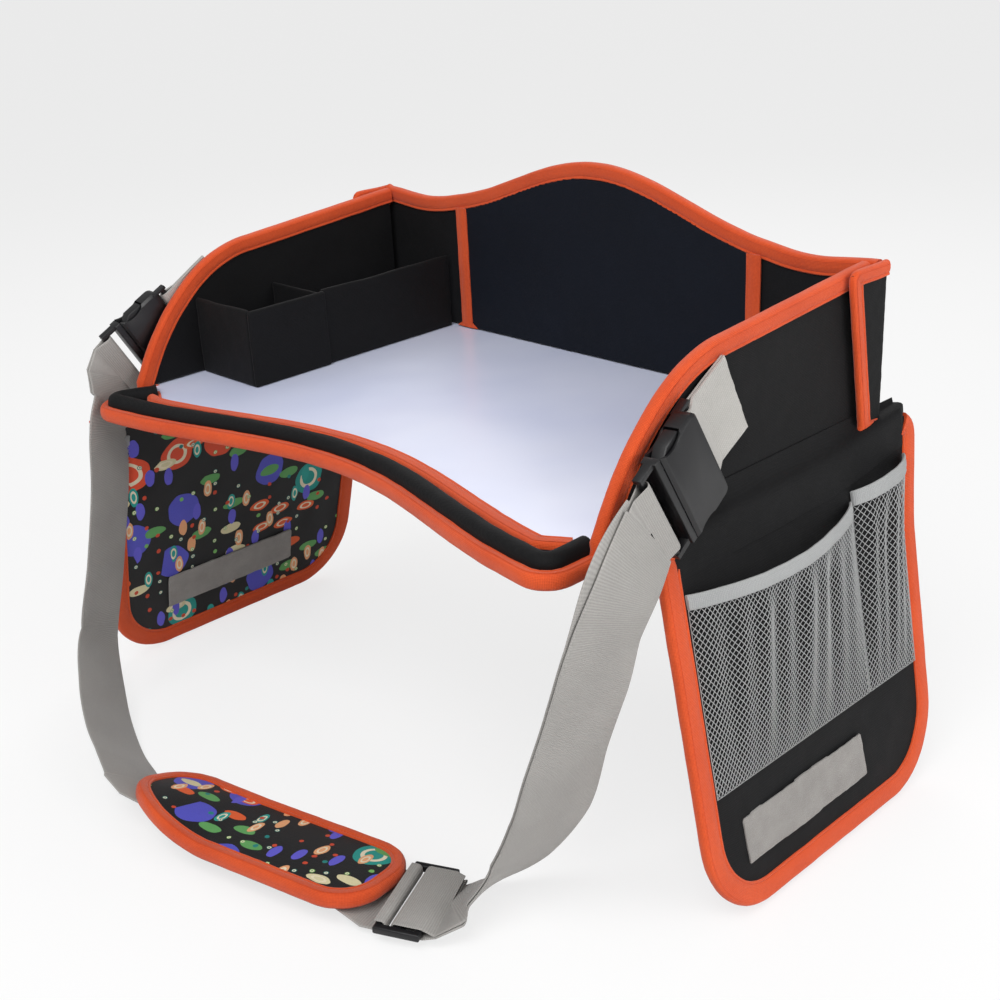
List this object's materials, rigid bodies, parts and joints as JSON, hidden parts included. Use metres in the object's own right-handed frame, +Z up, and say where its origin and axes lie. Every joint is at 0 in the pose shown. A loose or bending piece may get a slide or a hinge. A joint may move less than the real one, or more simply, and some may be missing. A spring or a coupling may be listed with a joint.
{
  "type": "kids travel tray",
  "caption": "Soft lap tray with fabric walls, a side organiser, mesh pocket flaps and a buckled waist strap with a pad.",
  "frame": {"origin": "middle of the lap base's flat underside", "axes": "+X to the child's right along the tray's width, -Y towards the child, +Z up"},
  "size_m": [0.5072, 0.3936, 0.3384],
  "materials": {
    "black_polyester": "matte",
    "navy_polyester": "matte",
    "orange_binding": "matte",
    "clear_film": "gloss",
    "board": "matte",
    "foam_roll": "matte",
    "webbing": "matte",
    "mesh": "matte",
    "velour": "matte",
    "buckle_plastic": "satin"
  },
  "bodies": {
    "tray": {"base_cover": "black_polyester", "base_board": "board", "writing_film": "clear_film", "inner_binding": "orange_binding", "bumper_roll": "foam_roll", "bumper_binding": "orange_binding", "left_wall_cover": "black_polyester", "left_wall_board": "board", "left_wall_binding": "orange_binding", "organiser_end_panel": "black_polyester", "organiser_divider": "black_polyester", "organiser_face_panel": "black_polyester", "left_buckle_tab": "webbing", "left_buckle_socket": "buckle_plastic", "left_strap": "webbing", "right_strap": "webbing"},
    "right_wall": {"right_wall_cover": "black_polyester", "right_wall_board": "board", "right_wall_binding": "orange_binding", "right_buckle_tab": "webbing", "right_buckle_socket": "buckle_plastic"},
    "back_wall": {"back_wall_cover": "black_polyester", "back_wall_board": "board", "back_wall_binding": "orange_binding", "tablet_pocket": "navy_polyester", "left_pocket_tape": "orange_binding", "right_pocket_tape": "orange_binding"},
    "left_wing": {"left_wing_panel": "black_polyester", "left_wing_binding": "orange_binding", "left_wing_hook_patch": "velour"},
    "right_wing": {"right_wing_panel": "black_polyester", "right_wing_binding": "orange_binding", "right_wing_hook_patch": "velour"},
    "left_flap": {"left_flap_panel": "black_polyester", "left_flap_board": "board", "left_flap_binding": "orange_binding", "left_mesh_pocket": "mesh", "left_pocket_hem": "webbing", "left_rear_mesh_pocket": "mesh", "left_rear_pocket_hem": "webbing", "left_flap_strip": "velour"},
    "right_flap": {"right_flap_panel": "black_polyester", "right_flap_board": "board", "right_flap_binding": "orange_binding", "right_mesh_pocket": "mesh", "right_pocket_hem": "webbing", "right_rear_mesh_pocket": "mesh", "right_rear_pocket_hem": "webbing", "right_flap_strip": "velour"},
    "left_plug": {"left_buckle_plug": "buckle_plastic"},
    "left_lower_arm": {"left_plug_lower_arm": "buckle_plastic"},
    "left_upper_arm": {"left_plug_upper_arm": "buckle_plastic"},
    "right_plug": {"right_buckle_plug": "buckle_plastic"},
    "right_lower_arm": {"right_plug_lower_arm": "buckle_plastic"},
    "right_upper_arm": {"right_plug_upper_arm": "buckle_plastic"},
    "adjuster": {"strap_adjuster": "buckle_plastic"},
    "pad": {"strap_pad": "black_polyester", "strap_pad_binding": "orange_binding"}
  },
  "joints": [
    {"name": "back_wall_fold", "type": "hinge", "parent": "tray", "child": "back_wall", "pos_m": [0, 0.132, 0.0083], "axis": [-1, 0, 0], "range_deg": [0, 85]},
    {"name": "right_wall_fold", "type": "hinge", "parent": "tray", "child": "right_wall", "pos_m": [0.195, 0, 0.0098], "axis": [0, -1, 0], "range_deg": [0, 78], "deforming": ["right_strap"]},
    {"name": "left_wing_open", "type": "hinge", "parent": "back_wall", "child": "left_wing", "pos_m": [-0.2054, 0.132, 0.05], "axis": [0, 0, -1], "range_deg": [0, 130]},
    {"name": "right_wing_open", "type": "hinge", "parent": "back_wall", "child": "right_wing", "pos_m": [0.2054, 0.132, 0.05], "axis": [0, 0, 1], "range_deg": [0, 130]},
    {"name": "left_flap_fold", "type": "hinge", "parent": "tray", "child": "left_flap", "pos_m": [-0.203, 0, -0.0063], "axis": [0, 1, 0], "range_deg": [-100, 5]},
    {"name": "right_flap_fold", "type": "hinge", "parent": "tray", "child": "right_flap", "pos_m": [0.203, 0, -0.0063], "axis": [0, -1, 0], "range_deg": [-100, 36]},
    {"name": "left_plug_slide", "type": "slide", "parent": "tray", "child": "left_plug", "axis": [-0.0872, -0.8627, -0.4981], "range_m": [0, 0.032], "deforming": ["left_strap"]},
    {"name": "left_lower_arm_squeeze", "type": "hinge", "parent": "left_plug", "child": "left_lower_arm", "pos_m": [-0.21143, -0.07115, 0.00883], "axis": [0.9962, -0.0755, -0.0436], "range_deg": [0, 8], "stiffness_Nm_per_rad": 0.005},
    {"name": "left_upper_arm_squeeze", "type": "hinge", "parent": "left_plug", "child": "left_upper_arm", "pos_m": [-0.21143, -0.09325, 0.04711], "axis": [-0.9962, 0.0755, 0.0436], "range_deg": [0, 8], "stiffness_Nm_per_rad": 0.005},
    {"name": "right_plug_slide", "type": "slide", "parent": "right_wall", "child": "right_plug", "axis": [0.0872, -0.8627, -0.4981], "range_m": [0, 0.032], "deforming": ["right_strap"]},
    {"name": "right_lower_arm_squeeze", "type": "hinge", "parent": "right_plug", "child": "right_lower_arm", "pos_m": [0.21143, -0.04515, 0.00883], "axis": [0.9962, 0.0755, 0.0436], "range_deg": [0, 8], "stiffness_Nm_per_rad": 0.005},
    {"name": "right_upper_arm_squeeze", "type": "hinge", "parent": "right_plug", "child": "right_upper_arm", "pos_m": [0.21143, -0.06725, 0.04711], "axis": [-0.9962, -0.0755, -0.0436], "range_deg": [0, 8], "stiffness_Nm_per_rad": 0.005},
    {"name": "adjuster_slide", "type": "slide", "parent": "tray", "child": "adjuster", "axis": [0.9063, 0.4226, 0], "range_m": [0, 0.025], "deforming": ["left_strap"]},
    {"name": "pad_slide", "type": "slide", "parent": "tray", "child": "pad", "axis": [0.9759, 0.2181, 0], "range_m": [-0.06, 0]}
  ],
  "couplings": [
    {"joint": "left_upper_arm_squeeze", "follows": "left_lower_arm_squeeze", "ratio": 1},
    {"joint": "right_upper_arm_squeeze", "follows": "right_lower_arm_squeeze", "ratio": 1}
  ]
}
